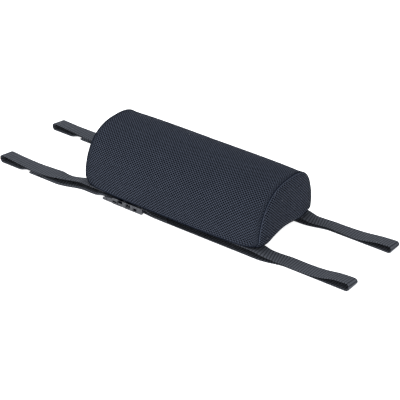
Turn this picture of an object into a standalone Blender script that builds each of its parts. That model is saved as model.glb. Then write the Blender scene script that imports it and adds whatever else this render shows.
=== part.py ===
import math

import bmesh
import bpy
from mathutils import Matrix, Vector

# A half-round lumbar cushion lying on its flat base, with two webbing belts that fasten round a backrest.
# X runs along the cushion, Y to its rear and Z up. The floor that it lies on is Z = 0.

mm = 0.001
touch_gap = 0.3 * mm

# Cushion
cushion_length = 300 * mm
cushion_depth = 142 * mm
cushion_height = 85 * mm
depth_bulge = 6.5 * mm
height_bulge = 1.0 * mm
section_power = 2.6
section_steps = 44
length_steps = 12
cover_thickness = 2.7 * mm
seam_width = 2.0 * mm
seam_height = 1.2 * mm
end_seam_inset = 1.8 * mm
belt_strip_margin = 1.0 * mm

# Zip in the middle of the base
zip_inset = 19 * mm
zip_mouth = 10.0 * mm
zip_tape_width = 14 * mm
zip_tape_thickness = 0.7 * mm
zip_tape_margin = 9 * mm
coil_width = 3.1 * mm
coil_thickness = 1.6 * mm
stop_length = 3.0 * mm
slider_length = 9.0 * mm
slider_plate = 1.4 * mm
slider_flange = 1.2 * mm
slider_ear = 1.1 * mm
pull_length = 14 * mm
pull_width = 3.6 * mm
pull_thickness = 1.1 * mm
pull_pin_radius = 0.6 * mm
pull_eye_wall = 0.6 * mm
pull_eye_sides = 20

# Webbing belts
web_width = 25 * mm
web_thickness = 1.3 * mm
sewn_inset = 11 * mm
bend_step = math.radians(15)
run_step = 7 * mm
thread_thickness = 0.5 * mm
thread_width = 0.8 * mm
sunk_thread = 0.2 * mm
stitch_length = 5.0 * mm
stitch_pitch = 9.0 * mm
stitch_edge = 2.2 * mm
bartack_length = 3.0 * mm
hem_length = 16 * mm
tail_length = 139 * mm
flap_length = 22 * mm

# Each belt's middle lies inset from the base's edge. Each free end has a loop that reaches past the cushion,
# stands to a height and drifts sideways. Its upper run is given as shares of the reach and heights above
# the floor.
belts = {
    "front": {
        "side": -1,
        "inset": 9 * mm,
        "right": {"reach": 143 * mm, "height": 11.8 * mm, "drift": 8.5 * mm,
                  "run": [(0.02, 9.6 * mm), (0.10, 6.4 * mm), (0.20, 3.5 * mm), (0.30, 2.7 * mm),
                          (0.50, 2.7 * mm), (0.66, 4.6 * mm), (0.82, 9.4 * mm)]},
        "left": {"reach": 154 * mm, "height": 11.2 * mm, "drift": -11.5 * mm,
                 "run": [(0.02, 9.6 * mm), (0.10, 7.2 * mm), (0.18, 7.4 * mm), (0.29, 9.6 * mm),
                         (0.42, 7.6 * mm), (0.60, 7.0 * mm), (0.80, 8.8 * mm)]},
    },
    "rear": {
        "side": 1,
        "inset": 11 * mm,
        "right": {"reach": 142 * mm, "height": 10.8 * mm, "drift": 9 * mm,
                  "run": [(0.02, 9.4 * mm), (0.10, 5.9 * mm), (0.20, 3.3 * mm), (0.30, 2.7 * mm),
                          (0.50, 2.7 * mm), (0.64, 4.1 * mm), (0.82, 8.4 * mm)]},
        "left": {"reach": 157 * mm, "height": 9.4 * mm, "drift": -1.5 * mm,
                 "run": [(0.02, 9.6 * mm), (0.12, 7.8 * mm), (0.30, 7.4 * mm), (0.62, 7.3 * mm)]},
    },
}
drift_share = 0.30

# Side-release buckles, which lie on the floor under the belts
buckle_inset = 75 * mm
buckle_height = 9.4 * mm
buckle_wall = 1.8 * mm
buckle_bevel = 1.0 * mm
rail_width = 3.7 * mm
web_side_gap = 0.8 * mm
bar_corner = 1.0 * mm
male_rail_rise = 0.9 * mm
male_shoulder_length = 20.5 * mm
slot_length = 4.5 * mm
middle_bar_length = 4.0 * mm
outer_bar_length = 3.5 * mm
outer_bar_bottom = 1.2 * mm
ladder_bar_thickness = 2.5 * mm
male_step_back = 0.5 * mm
guide_length = 17 * mm
guide_width = 6.4 * mm
prong_length = 18.7 * mm
prong_width = 3.0 * mm
prong_play = 0.4 * mm
prong_height_play = 0.6 * mm
prong_head_start = 10.7 * mm
prong_head_reach = 1.8 * mm
prong_tip_reach = 2.6 * mm
window_play = 0.7 * mm
socket_length = 21.5 * mm
socket_end_wall = 2.5 * mm
female_slot_length = 5.7 * mm
female_bar_length = 4.3 * mm
female_bar_thickness = 3.4 * mm
ramp_length = 20 * mm
cut_margin = 1.0 * mm

# Sizes that follow from the ones above
half_length = cushion_length / 2
zip_length = cushion_length - 2 * zip_inset
thread_gap = 0.4 * mm
sewn_web_bottom = buckle_height + thread_gap + thread_thickness + touch_gap
base_level = sewn_web_bottom + web_thickness + touch_gap
sewn_half = half_length - sewn_inset
socket_half_width = web_width / 2 + web_side_gap + rail_width - buckle_wall - prong_play
buckle_half_width = web_width / 2 + web_side_gap + rail_width
slot_half_width = web_width / 2 + web_side_gap
web_half = web_thickness / 2
floor_run = web_half
layer_rise = web_thickness + touch_gap
clear_of_hem = floor_run + 2 * layer_rise + thread_thickness + 2 * touch_gap
left_reach, right_reach = (max(belt[end]["reach"] for belt in belts.values()) for end in ("left", "right"))


def belt_middle(belt):
    return belt["side"] * (cushion_depth / 2 - belt["inset"])


belt_side = min(abs(belt_middle(belt)) for belt in belts.values()) - buckle_half_width
middle_panel_half = belt_side - belt_strip_margin
loops_y = [belt_middle(belt) + belt[end]["drift"] for belt in belts.values() for end in ("left", "right")]
centre_place = ((left_reach - right_reach) / 2, -(min(loops_y) + max(loops_y)) / 2, 0)


def clear_scene():
    for thing in list(bpy.data.objects):
        bpy.data.objects.remove(thing, do_unlink=True)


def add_centre():
    """The cushion's centre on the floor. The belts reach further one way, so it isn't the whole's centre."""
    centre = bpy.data.objects.new("cushion_centre", None)
    bpy.context.scene.collection.objects.link(centre)
    centre.location = centre_place


def make_material(name, colour, roughness, metallic=0.0):
    made = bpy.data.materials.new(name)
    made.use_nodes = True
    shader = made.node_tree.nodes["Principled BSDF"]
    shader.inputs["Base Color"].default_value = (*colour, 1.0)
    shader.inputs["Roughness"].default_value = roughness
    shader.inputs["Metallic"].default_value = metallic
    made.diffuse_color = (*colour, 1.0)
    return made


def add_object(name, mesh_data, slot, place=(0, 0, 0), parent=None, smooth_angle=35):
    bmesh.ops.recalc_face_normals(mesh_data, faces=mesh_data.faces)
    mesh = bpy.data.meshes.new(name)
    mesh_data.to_mesh(mesh)
    mesh_data.free()
    mesh.shade_smooth()
    mesh.set_sharp_from_angle(angle=math.radians(smooth_angle))
    if slot:
        mesh.materials.append(slot)
    made = bpy.data.objects.new(name, mesh)
    bpy.context.scene.collection.objects.link(made)
    made.location = place
    made.parent = parent or bpy.data.objects["cushion_centre"]
    return made


def add_strip(mesh_data, uppers, lowers):
    """Closed body between two sheets, each a list of rings with the same number of points."""
    count = len(uppers[0])
    top = [[mesh_data.verts.new(point) for point in ring] for ring in uppers]
    bottom = [[mesh_data.verts.new(point) for point in ring] for ring in lowers]
    for first, second in zip(range(len(top) - 1), range(1, len(top))):
        for sheet in (top, bottom):
            for k in range(count - 1):
                mesh_data.faces.new((sheet[first][k], sheet[first][k + 1], sheet[second][k + 1], sheet[second][k]))
        for k in (0, count - 1):
            mesh_data.faces.new((top[first][k], top[second][k], bottom[second][k], bottom[first][k]))
    for ring in (0, -1):
        for k in range(count - 1):
            mesh_data.faces.new((top[ring][k], top[ring][k + 1], bottom[ring][k + 1], bottom[ring][k]))


def add_prism(mesh_data, rings):
    """Closed body through rings of points, with a flat cap at each end."""
    made = [[mesh_data.verts.new(point) for point in ring] for ring in rings]
    count = len(rings[0])
    for first, second in zip(made[:-1], made[1:]):
        for k in range(count):
            follow = (k + 1) % count
            mesh_data.faces.new((first[k], first[follow], second[follow], second[k]))
    mesh_data.faces.new(made[0])
    mesh_data.faces.new(made[-1])


def add_box(mesh_data, low, high):
    centre = [(a + b) / 2 for a, b in zip(low, high)]
    size = [b - a for a, b in zip(low, high)]
    bmesh.ops.create_cube(mesh_data, size=1.0, matrix=Matrix.Translation(centre) @ Matrix.Diagonal((*size, 1.0)))


def box_object(name, slot, low, high):
    mesh_data = bmesh.new()
    add_box(mesh_data, low, high)
    return add_object(name, mesh_data, slot)


def add_boolean(target, helper, operation):
    helper.hide_render = True
    helper.display_type = 'WIRE'
    cut = target.modifiers.new(helper.name, 'BOOLEAN')
    cut.operation = operation
    cut.solver = 'EXACT'
    cut.object = helper


def add_bevel(target, width):
    bevel = target.modifiers.new("edges", 'BEVEL')
    bevel.width = width
    bevel.segments = 2
    bevel.limit_method = 'ANGLE'
    bevel.angle_limit = math.radians(50)


# The cushion's section is a superellipse whose lower half is left off, a little fuller in mid length.

def fullness(x):
    return 1 - (2 * x / cushion_length) ** 4


def half_depth(x):
    return cushion_depth / 2 + depth_bulge * fullness(x)


def section(x, outward=0.0, first_height=0.0):
    """Points over the top of the cushion at x, from its front base edge to its rear one."""
    a = half_depth(x)
    b = cushion_height + height_bulge * fullness(x)
    start = math.asin((first_height / b) ** (section_power / 2))
    points = []
    for k in range(section_steps + 1):
        angle = start + (math.pi - 2 * start) * k / section_steps
        across = -math.cos(angle)
        y = a * math.copysign(abs(across) ** (2 / section_power), across)
        z = b * abs(math.sin(angle)) ** (2 / section_power)
        slope = Vector((math.copysign((abs(y) / a) ** (section_power - 1) / a, y),
                        (z / b) ** (section_power - 1) / b)).normalized()
        ending = k in (0, section_steps)
        height = first_height if ending else z + slope.y * outward
        points.append(Vector((x, y + slope.x * outward, base_level + height)))
    return points


def stations(reach, count=length_steps):
    return [-reach + 2 * reach * k / count for k in range(count + 1)]


def build_cushion(foam, fabric, seam_thread):
    panel_reach = half_length - cover_thickness - touch_gap
    core_floor = cover_thickness + zip_tape_thickness + 2 * touch_gap
    core = bmesh.new()
    add_prism(core, [section(x, -cover_thickness - touch_gap, core_floor) for x in stations(panel_reach)])
    add_object("foam_core", core, foam)

    wrap = bmesh.new()
    add_strip(wrap, [section(x) for x in stations(panel_reach)],
              [section(x, -cover_thickness) for x in stations(panel_reach)])
    add_object("cover_wrap_panel", wrap, fabric)

    for name, side in (("left", -1), ("right", 1)):
        end = bmesh.new()
        add_prism(end, [section(side * x) for x in (half_length - cover_thickness, half_length)])
        add_object("cover_end_" + name, end, fabric)
        seam = bmesh.new()
        edges = [side * (half_length - end_seam_inset - width) for width in (0, seam_width)]
        add_strip(seam, [section(x, touch_gap + seam_height) for x in edges],
                  [section(x, touch_gap) for x in edges])
        add_object("end_seam_" + name, seam, seam_thread)

    seam_reach = half_length - end_seam_inset - seam_width - touch_gap
    for name, side in (("front", -1), ("rear", 1)):
        # The base is a middle panel, which lies on the backrest, and a strip that carries the belt.
        edges = sorted((side * zip_mouth / 2, side * middle_panel_half))
        box_object("cover_base_" + name, fabric, (-panel_reach, edges[0], base_level),
                   (panel_reach, edges[1], base_level + cover_thickness))
        strip = bmesh.new()
        inner = side * (middle_panel_half + touch_gap)
        outer = [side * (half_depth(x) - cover_thickness - touch_gap) for x in stations(panel_reach)]
        levels = (base_level + cover_thickness, base_level)
        sheets = [[[Vector((x, inner, z)), Vector((x, y, z))]
                   for x, y in zip(stations(panel_reach), outer)] for z in levels]
        add_strip(strip, *sheets)
        add_object("cover_belt_strip_" + name, strip, fabric)
        lip = bmesh.new()
        sheets = [[[Vector((x, side * (half_depth(x) + touch_gap + out), z))
                    for out in (0, seam_height)] for x in stations(seam_reach)]
                  for z in (base_level + seam_width, base_level)]
        add_strip(lip, *sheets)
        add_object("base_seam_" + name, lip, seam_thread)


def build_zip(tape, coil, metal):
    tape_floor = base_level + cover_thickness + touch_gap
    coil_top = tape_floor - touch_gap
    coil_half = touch_gap / 2
    tape_end = zip_length / 2 + zip_tape_margin
    for name, side in (("front", -1), ("rear", 1)):
        edges = sorted((side * coil_half, side * (coil_half + zip_tape_width)))
        box_object("zip_tape_" + name, tape, (-tape_end, edges[0], tape_floor),
                   (tape_end, edges[1], tape_floor + zip_tape_thickness))
        edges = sorted((side * coil_half, side * (coil_half + coil_width)))
        box_object("zip_coil_" + name, coil, (-zip_length / 2, edges[0], coil_top - coil_thickness),
                   (zip_length / 2, edges[1], coil_top))
    for name, side in (("left", -1), ("right", 1)):
        edges = sorted(side * (zip_length / 2 + touch_gap + out) for out in (0, stop_length))
        box_object("zip_stop_" + name, metal, (edges[0], -coil_width, coil_top - coil_thickness),
                   (edges[1], coil_width, coil_top))

    # The slider is a channel round the coils, with two ears and a pin below that carry the pull tab.
    home = Vector((zip_length / 2 - slider_length / 2, 0, coil_top - coil_thickness - touch_gap))
    inner = coil_half + coil_width + touch_gap
    outer = inner + slider_flange
    half = slider_length / 2
    side_top = coil_thickness
    channel = [(-outer, -slider_plate), (outer, -slider_plate), (outer, side_top), (inner, side_top),
               (inner, 0), (-inner, 0), (-inner, side_top), (-outer, side_top)]
    slider_mesh = bmesh.new()
    add_prism(slider_mesh, [[Vector((x, y, z)) for y, z in channel] for x in (-half, half)])
    slider = add_object("zip_slider", slider_mesh, metal, home)

    eye_radius = pull_pin_radius + touch_gap + pull_eye_wall
    pin_drop = slider_plate + touch_gap + eye_radius
    ear_inner = pull_width / 2 + touch_gap
    ears = bmesh.new()
    for side in (-1, 1):
        edges = sorted((side * ear_inner, side * (ear_inner + slider_ear)))
        add_box(ears, (-eye_radius, edges[0], -pin_drop - eye_radius), (eye_radius, edges[1], -slider_plate / 2))
    ear_helper = add_object("zip_slider_ears", ears, None, home)
    add_boolean(slider, ear_helper, 'UNION')
    pin = bmesh.new()
    turn = Matrix.Translation((0, 0, -pin_drop)) @ Matrix.Rotation(math.pi / 2, 4, 'X')
    bmesh.ops.create_cone(pin, cap_ends=True, segments=pull_eye_sides, radius1=pull_pin_radius,
                          radius2=pull_pin_radius, depth=2 * ear_inner + slider_ear, matrix=turn)
    pin_helper = add_object("zip_slider_pin", pin, None, home)
    add_boolean(slider, pin_helper, 'UNION')

    # The pull tab is an eye round the pin with a flat tongue.
    wall = [(pull_length, -pull_thickness / 2), (pull_length, pull_thickness / 2)]
    open_angle = math.asin(pull_thickness / 2 / eye_radius)
    sides = [open_angle + (2 * math.pi - 2 * open_angle) * k / pull_eye_sides for k in range(pull_eye_sides + 1)]
    outline = wall + [(eye_radius * math.cos(a), eye_radius * math.sin(a)) for a in sides]
    tab = bmesh.new()
    add_prism(tab, [[Vector((x, y, z)) for x, z in outline] for y in (-pull_width / 2, pull_width / 2)])
    pull = add_object("zip_pull_tab", tab, metal, (0, 0, -pin_drop), slider)
    hole = bmesh.new()
    bmesh.ops.create_cone(hole, cap_ends=True, segments=pull_eye_sides, radius1=pull_pin_radius + touch_gap,
                          radius2=pull_pin_radius + touch_gap, depth=pull_width + 2 * cut_margin,
                          matrix=Matrix.Rotation(math.pi / 2, 4, 'X'))
    hole_helper = add_object("zip_pull_hole", hole, None, home - Vector((0, 0, pin_drop)))
    add_boolean(pull, hole_helper, 'DIFFERENCE')


# Webbing is a flat strip along a path of (x, z) points, given in the order that the strip runs.

def arc(centre, radius, first, last):
    """Points on a circle, from one angle in degrees to another."""
    first, last = math.radians(first), math.radians(last)
    count = max(2, math.ceil(abs(last - first) / bend_step))
    angles = [first + (last - first) * k / count for k in range(count + 1)]
    return [(centre[0] + radius * math.cos(a), centre[1] + radius * math.sin(a)) for a in angles]


def ramp(start, end):
    """An eased change of height between two points, without the points themselves."""
    count = max(4, math.ceil(abs(end[0] - start[0]) / run_step * 2))
    shares = [k / count for k in range(1, count)]
    return [(start[0] + (end[0] - start[0]) * s, start[1] + (end[1] - start[1]) * (1 - math.cos(math.pi * s)) / 2)
            for s in shares]


def smooth_run(points):
    """A smooth curve through the points, flat at both ends."""
    before = (2 * points[0][0] - points[1][0], points[0][1])
    after = (2 * points[-1][0] - points[-2][0], points[-1][1])
    chain = [before] + list(points) + [after]
    made = [points[0]]
    for k in range(1, len(chain) - 2):
        p, q, r, s = (Vector(point) for point in chain[k - 1:k + 3])
        count = max(2, math.ceil((r - q).length / run_step))
        for step in range(1, count + 1):
            t = step / count
            place = (q * 2 + (r - p) * t + (p * 2 - q * 5 + r * 4 - s) * t ** 2
                     + (q * 3 - p - r * 3 + s) * t ** 3) / 2
            made.append(tuple(place))
    return made


def free_end(belt_end, side, lowest, last):
    """Upper run, fold and lower run of one loop, from the sewn stretch to the point called last.

    The upper run lies no lower than lowest, which clears the layers under it.
    """
    sewn_level = sewn_web_bottom + web_half
    reach = belt_end["reach"]
    bend = (belt_end["height"] - web_thickness) / 2
    fold_x = half_length + reach - bend - web_half
    points = [(sewn_half, sewn_level)]
    points += [(half_length + reach * share, max(level, lowest)) for share, level in belt_end["run"]]
    points.append((fold_x, floor_run + 2 * bend))
    path = [(side * x, z) for x, z in smooth_run(points)]
    path += [(side * x, z) for x, z in arc((fold_x, floor_run + bend), bend, 90, -90)[1:]]
    path.append(last)
    return path


def sideways(belt_end, x):
    """How far the strip has drifted sideways at x."""
    share = (abs(x) - half_length) / (belt_end["reach"] * drift_share)
    share = min(max(share, 0.0), 1.0)
    return belt_end["drift"] * share * share * (3 - 2 * share)


def spaced(path):
    """The path with long straight stretches divided, and without repeated points."""
    made = [path[0]]
    for point in path[1:]:
        start = made[-1]
        length = math.dist(start, point)
        if length < touch_gap / 3:
            continue
        count = math.ceil(length / (3 * run_step))
        for k in range(1, count + 1):
            made.append(tuple(a + (b - a) * k / count for a, b in zip(start, point)))
    return made


def add_web(mesh_data, path, centre_y, drift, width=web_width, thickness=web_thickness):
    path = spaced(path)
    uppers, lowers = [], []
    for k, (x, z) in enumerate(path):
        before = Vector(path[max(k - 1, 0)])
        after = Vector(path[min(k + 1, len(path) - 1)])
        along = (after - before).normalized()
        out = Vector((-along.y, along.x)) * thickness / 2
        y = centre_y + drift(x)
        uppers.append([Vector((x + out.x, y + edge, z + out.y)) for edge in (-width / 2, width / 2)])
        lowers.append([Vector((x - out.x, y + edge, z - out.y)) for edge in (-width / 2, width / 2)])
    add_strip(mesh_data, uppers, lowers)


def cross_tangent(first, second, radius):
    """Heading in degrees of the line that leaves one circle on its right and meets the other on its left."""
    run = Vector(second) - Vector(first)
    return math.degrees(math.atan2(run.y, run.x) - math.asin(2 * radius / run.length)) % 360


# Both halves of a buckle are drawn from the plane where they meet, with +X into the socket.

middle_bar_bottom = web_thickness + outer_bar_bottom + touch_gap
middle_bar_top = middle_bar_bottom + ladder_bar_thickness
outer_bar_top = outer_bar_bottom + ladder_bar_thickness
middle_bar_right = -male_shoulder_length - slot_length
middle_bar_left = middle_bar_right - middle_bar_length
outer_bar_right = middle_bar_left - slot_length
outer_bar_left = outer_bar_right - outer_bar_length
female_bar_left = socket_length + socket_end_wall + female_slot_length
female_bar_right = female_bar_left + female_bar_length
female_bar_bottom = (buckle_height - female_bar_thickness) / 2
female_bar_top = female_bar_bottom + female_bar_thickness
socket_floor = buckle_wall
socket_roof = buckle_height - buckle_wall


def build_female(name, plastic, place):
    block = bmesh.new()
    add_box(block, (touch_gap, -buckle_half_width, 0), (female_bar_right, buckle_half_width, buckle_height))
    female = add_object(name, block, plastic, place)
    add_bevel(female, buckle_bevel)
    wide = buckle_half_width + cut_margin
    window_start = prong_head_start - window_play
    window_end = prong_length + window_play
    half_socket = [(-cut_margin, socket_half_width), (window_start, socket_half_width), (window_start, wide),
                   (window_end, wide), (window_end, socket_half_width), (socket_length, socket_half_width)]
    socket = [(x, -y) for x, y in half_socket] + half_socket[::-1]
    under, over = -cut_margin, buckle_height + cut_margin
    slot_start = socket_length + socket_end_wall
    past = female_bar_right + cut_margin
    turn = female_bar_left + bar_corner
    bar_front = arc((turn, female_bar_bottom + bar_corner), bar_corner, -90, -180)
    bar_front += arc((turn, female_bar_top - bar_corner), bar_corner, 180, 90)
    slot = [(slot_start, under), (past, under), (past, female_bar_bottom), *bar_front,
            (past, female_bar_top), (past, over), (slot_start, over)]
    cutter_mesh = bmesh.new()
    add_prism(cutter_mesh, [[Vector((x, y, z)) for x, y in socket] for z in (socket_floor, socket_roof)])
    add_prism(cutter_mesh, [[Vector((x, y, z)) for x, z in slot] for y in (-slot_half_width, slot_half_width)])
    add_boolean(female, add_object(name + "_cuts", cutter_mesh, None, place), 'DIFFERENCE')


def build_male(name, plastic, place):
    """The male half: shoulder, rails and two ladder bars for the webbing, and a guide that enters the socket."""
    low, high = male_rail_rise, middle_bar_top + web_thickness + 2 * touch_gap
    step = -male_shoulder_length
    outline = [(outer_bar_left, low), (outer_bar_left, outer_bar_top), (middle_bar_left, high), (step, high),
               (step + buckle_wall, buckle_height), (0, buckle_height), (0, 0), (step + buckle_wall, 0),
               (step, low)]
    half_width = buckle_half_width - male_step_back
    body = bmesh.new()
    add_prism(body, [[Vector((x, y, z)) for x, z in outline] for y in (-half_width, half_width)])
    male = add_object(name, body, plastic, place)
    add_bevel(male, buckle_bevel / 2)
    gap = bmesh.new()
    add_box(gap, (outer_bar_left - cut_margin, -slot_half_width, -cut_margin),
            (step, slot_half_width, buckle_height + cut_margin))
    add_boolean(male, add_object(name + "_gap", gap, None, place), 'DIFFERENCE')
    added = bmesh.new()
    bar_reach = slot_half_width + rail_width / 2
    for left, right, bottom in ((outer_bar_left + touch_gap, outer_bar_right, outer_bar_bottom),
                                (middle_bar_left, middle_bar_right, middle_bar_bottom)):
        top = bottom + ladder_bar_thickness
        corners = [((right, bottom), -90), ((right, top), 0), ((left, top), 90), ((left, bottom), 180)]
        profile = []
        for (x, z), angle in corners:
            turn_x = x + (bar_corner if x == left else -bar_corner)
            turn_z = z + (bar_corner if z == bottom else -bar_corner)
            profile += arc((turn_x, turn_z), bar_corner, angle, angle + 90)
        add_prism(added, [[Vector((x, y, z)) for x, z in profile] for y in (-bar_reach, bar_reach)])
    rise = socket_floor + prong_height_play
    add_box(added, (-buckle_wall, -guide_width / 2, rise), (guide_length, guide_width / 2, buckle_height - rise))
    add_boolean(male, add_object(name + "_bars", added, None, place), 'UNION')
    return male


def build_prong(name, plastic, male, side):
    """A springy side arm whose head shows in the socket's window. Its origin is where it bends."""
    outer = socket_half_width - prong_play
    root_y = outer - prong_width / 2
    arm = prong_width / 2
    head = prong_head_start - touch_gap
    tip = prong_length - touch_gap
    outline = [(0, -arm), (tip - arm, -arm), (tip, 0), (tip, arm + prong_head_reach / 2),
               (tip - arm, arm + prong_tip_reach), (head + arm, arm + prong_tip_reach),
               (head, arm + prong_head_reach), (head, arm), (0, arm)]
    rise = socket_floor + prong_height_play
    body = bmesh.new()
    add_prism(body, [[Vector((x, side * y, z)) for x, y in outline] for z in (rise, buckle_height - rise)])
    add_object(name, body, plastic, (touch_gap, side * root_y, 0), male)


def ladder_route(mouth_x):
    """The webbing from the lower run through the ladder to the tail, which ends in a folded hem."""
    wrap = bar_corner + touch_gap + web_half
    right = mouth_x + middle_bar_right - bar_corner
    left = mouth_x + middle_bar_left + bar_corner
    upper = middle_bar_top - bar_corner
    lower = middle_bar_bottom + bar_corner
    last = (mouth_x + outer_bar_right - bar_corner, outer_bar_top - bar_corner)
    heading = cross_tangent((left, lower), last, wrap)
    tail_over_bar = outer_bar_top + touch_gap + web_half
    entry = mouth_x + outer_bar_left
    tail_end = entry - tail_length
    run_level = floor_run + layer_rise + touch_gap
    hem_turn = layer_rise / 2
    hem_start = tail_end + hem_length
    points = [(tail_end - ramp_length, floor_run)]
    points += ramp(points[-1], (tail_end - web_thickness, clear_of_hem))
    points += [(tail_end - web_thickness, clear_of_hem), (hem_start + web_thickness, clear_of_hem)]
    points += ramp(points[-1], (hem_start + ramp_length, run_level))
    points += [(hem_start + ramp_length, run_level), (entry - ramp_length, run_level)]
    over_bars = max(middle_bar_top + touch_gap + web_half, tail_over_bar + layer_rise)
    points += ramp(points[-1], (entry, over_bars)) + [(entry, over_bars)]
    points += [(mouth_x + middle_bar_left, over_bars)]
    points += arc((right, upper), over_bars - upper, 90, 0)
    points += arc((right + over_bars - upper - wrap, lower), wrap, 0, -90)
    points += arc((left, lower), wrap, 270, heading + 90)
    points += arc(last, wrap, heading - 90, 90)
    points += [(entry, tail_over_bar)] + ramp((entry, tail_over_bar), (entry - ramp_length, floor_run))
    points += [(entry - ramp_length, floor_run), (tail_end + hem_turn, floor_run)]
    points += arc((tail_end + hem_turn, floor_run + hem_turn), hem_turn, -90, -270)
    points += [(hem_start, floor_run + layer_rise)]
    return points


def socket_route(mouth_x):
    """The webbing from the lower run round the socket half's bar, to the end of its sewn flap."""
    wrap = bar_corner + touch_gap + web_half
    left = mouth_x + female_bar_left
    right = mouth_x + female_bar_right
    below = female_bar_bottom - touch_gap - web_half
    above = female_bar_top + touch_gap + web_half
    flap_level = floor_run + layer_rise
    points = [(right + ramp_length, floor_run)] + ramp((right + ramp_length, floor_run), (right, below))
    points += [(right, below)] + arc((left + bar_corner, below + wrap), wrap, -90, -180)
    points += arc((left + bar_corner, above - wrap), wrap, 180, 90) + [(right, above)]
    points += ramp((right, above), (right + ramp_length, flap_level))
    points += [(right + ramp_length, flap_level), (right + ramp_length + flap_length, flap_level)]
    return points


def add_bartack(name, thread, x, y, level):
    half = web_width / 2 - stitch_edge
    box_object(name, thread, (x - bartack_length / 2, y - half, level),
               (x + bartack_length / 2, y + half, level + thread_thickness))


def build_belt(name, belt, webbing, plastic, thread):
    y = belt_middle(belt)
    mouth_x = -half_length + buckle_inset
    place = Vector((mouth_x, y, 0))
    build_female(name + "_buckle_socket", plastic, place)
    male = build_male(name + "_buckle_plug", plastic, place)
    for end, side in (("front", -1), ("rear", 1)):
        build_prong(name + "_buckle_prong_" + end, plastic, male, side)

    sewn = bmesh.new()
    add_web(sewn, [(x, sewn_web_bottom + web_half) for x in (-sewn_half, sewn_half)], y, lambda x: 0.0)
    add_object(name + "_sewn_web", sewn, webbing)

    right_drift = lambda x: sideways(belt["right"], x)
    left_drift = lambda x: sideways(belt["left"], x)
    route = socket_route(mouth_x)
    right_path = free_end(belt["right"], 1, floor_run + layer_rise, route[0]) + route[1:]
    right_path[0] = (sewn_half + touch_gap, right_path[0][1])
    right_web = bmesh.new()
    add_web(right_web, right_path, y, right_drift)
    add_object(name + "_loop_web", right_web, webbing)

    route = ladder_route(mouth_x)
    left_path = free_end(belt["left"], -1, clear_of_hem + layer_rise, route[0]) + route[1:]
    left_path[0] = (-sewn_half - touch_gap, left_path[0][1])
    left_web = bmesh.new()
    add_web(left_web, left_path, y, left_drift)
    add_object(name + "_adjuster_web", left_web, webbing)

    below_web = sewn_web_bottom - touch_gap - thread_thickness
    for end, side in (("left", -1), ("right", 1)):
        x = side * (sewn_half - stitch_pitch / 2)
        add_bartack(name + "_bartack_" + end, thread, x, y, below_web)
    flap_end = socket_route(mouth_x)[-1]
    add_bartack(name + "_flap_stitch", thread, flap_end[0] - stitch_pitch / 2, y,
                flap_end[1] + web_half + touch_gap)
    hem_end = ladder_route(mouth_x)[-1]
    hem_y = y + left_drift(hem_end[0])
    add_bartack(name + "_hem_stitch", thread, hem_end[0] - stitch_pitch / 2, hem_y,
                hem_end[1] + web_half + touch_gap)

    for end, side in (("front", -1), ("rear", 1)):
        row_y = y + side * (web_width / 2 - stitch_edge)
        build_stitch_row(name + "_stitch_row_" + end, thread, row_y, below_web + thread_thickness)


def build_stitch_row(name, thread, y, level):
    """One thread along the sewn stretch. It lies proud in each stitch and sinks back between two of them."""
    row_half = sewn_half - stitch_pitch - stitch_length
    count = round(2 * row_half / stitch_pitch)
    uppers, lowers = [], []
    for k in range(count):
        middle = -row_half + 2 * row_half * (k + 0.5) / count
        for out, drop in ((-stitch_pitch / 2, sunk_thread), (-stitch_length / 2, thread_thickness),
                          (stitch_length / 2, thread_thickness), (stitch_pitch / 2, sunk_thread)):
            x = middle + out * (2 * row_half / count / stitch_pitch)
            if lowers and x - lowers[-1][0].x < thread_thickness:
                continue
            uppers.append([Vector((x, y + edge, level)) for edge in (-thread_width / 2, thread_width / 2)])
            lowers.append([point - Vector((0, 0, drop)) for point in uppers[-1]])
    row = bmesh.new()
    add_strip(row, uppers, lowers)
    add_object(name, row, thread)


def main():
    clear_scene()
    add_centre()
    foam = make_material("foam", (0.62, 0.62, 0.60), 0.95)
    fabric = make_material("spacer_mesh", (0.018, 0.019, 0.024), 0.9)
    webbing = make_material("webbing", (0.014, 0.015, 0.018), 0.75)
    thread = make_material("thread", (0.012, 0.012, 0.014), 0.7)
    plastic = make_material("buckle_plastic", (0.020, 0.021, 0.023), 0.45)
    zip_tape = make_material("zip_tape", (0.014, 0.015, 0.018), 0.8)
    coil = make_material("zip_coil", (0.016, 0.016, 0.018), 0.5)
    metal = make_material("zip_metal", (0.05, 0.05, 0.055), 0.4, 0.9)
    build_cushion(foam, fabric, fabric)
    build_zip(zip_tape, coil, metal)
    for name, belt in belts.items():
        build_belt(name, belt, webbing, plastic, thread)


main()
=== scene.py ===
import math
import bmesh
import bpy
import numpy as np
from mathutils import Matrix, Vector


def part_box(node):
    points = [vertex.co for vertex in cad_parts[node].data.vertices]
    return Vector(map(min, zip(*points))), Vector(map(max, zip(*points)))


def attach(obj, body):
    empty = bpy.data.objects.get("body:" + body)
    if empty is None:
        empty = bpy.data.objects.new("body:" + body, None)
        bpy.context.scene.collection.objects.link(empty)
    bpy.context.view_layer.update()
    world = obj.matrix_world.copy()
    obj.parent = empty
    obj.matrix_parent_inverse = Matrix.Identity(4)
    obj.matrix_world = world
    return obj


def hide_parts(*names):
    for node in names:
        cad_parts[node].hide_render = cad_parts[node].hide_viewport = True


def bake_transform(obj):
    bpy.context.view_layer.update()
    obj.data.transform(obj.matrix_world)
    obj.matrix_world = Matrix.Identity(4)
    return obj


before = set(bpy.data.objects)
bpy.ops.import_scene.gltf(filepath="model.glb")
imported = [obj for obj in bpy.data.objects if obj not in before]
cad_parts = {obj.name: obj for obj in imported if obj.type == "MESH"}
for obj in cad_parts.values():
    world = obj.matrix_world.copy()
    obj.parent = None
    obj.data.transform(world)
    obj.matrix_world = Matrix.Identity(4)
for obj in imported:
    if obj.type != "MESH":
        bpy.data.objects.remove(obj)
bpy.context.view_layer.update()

mm = 0.001

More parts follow.
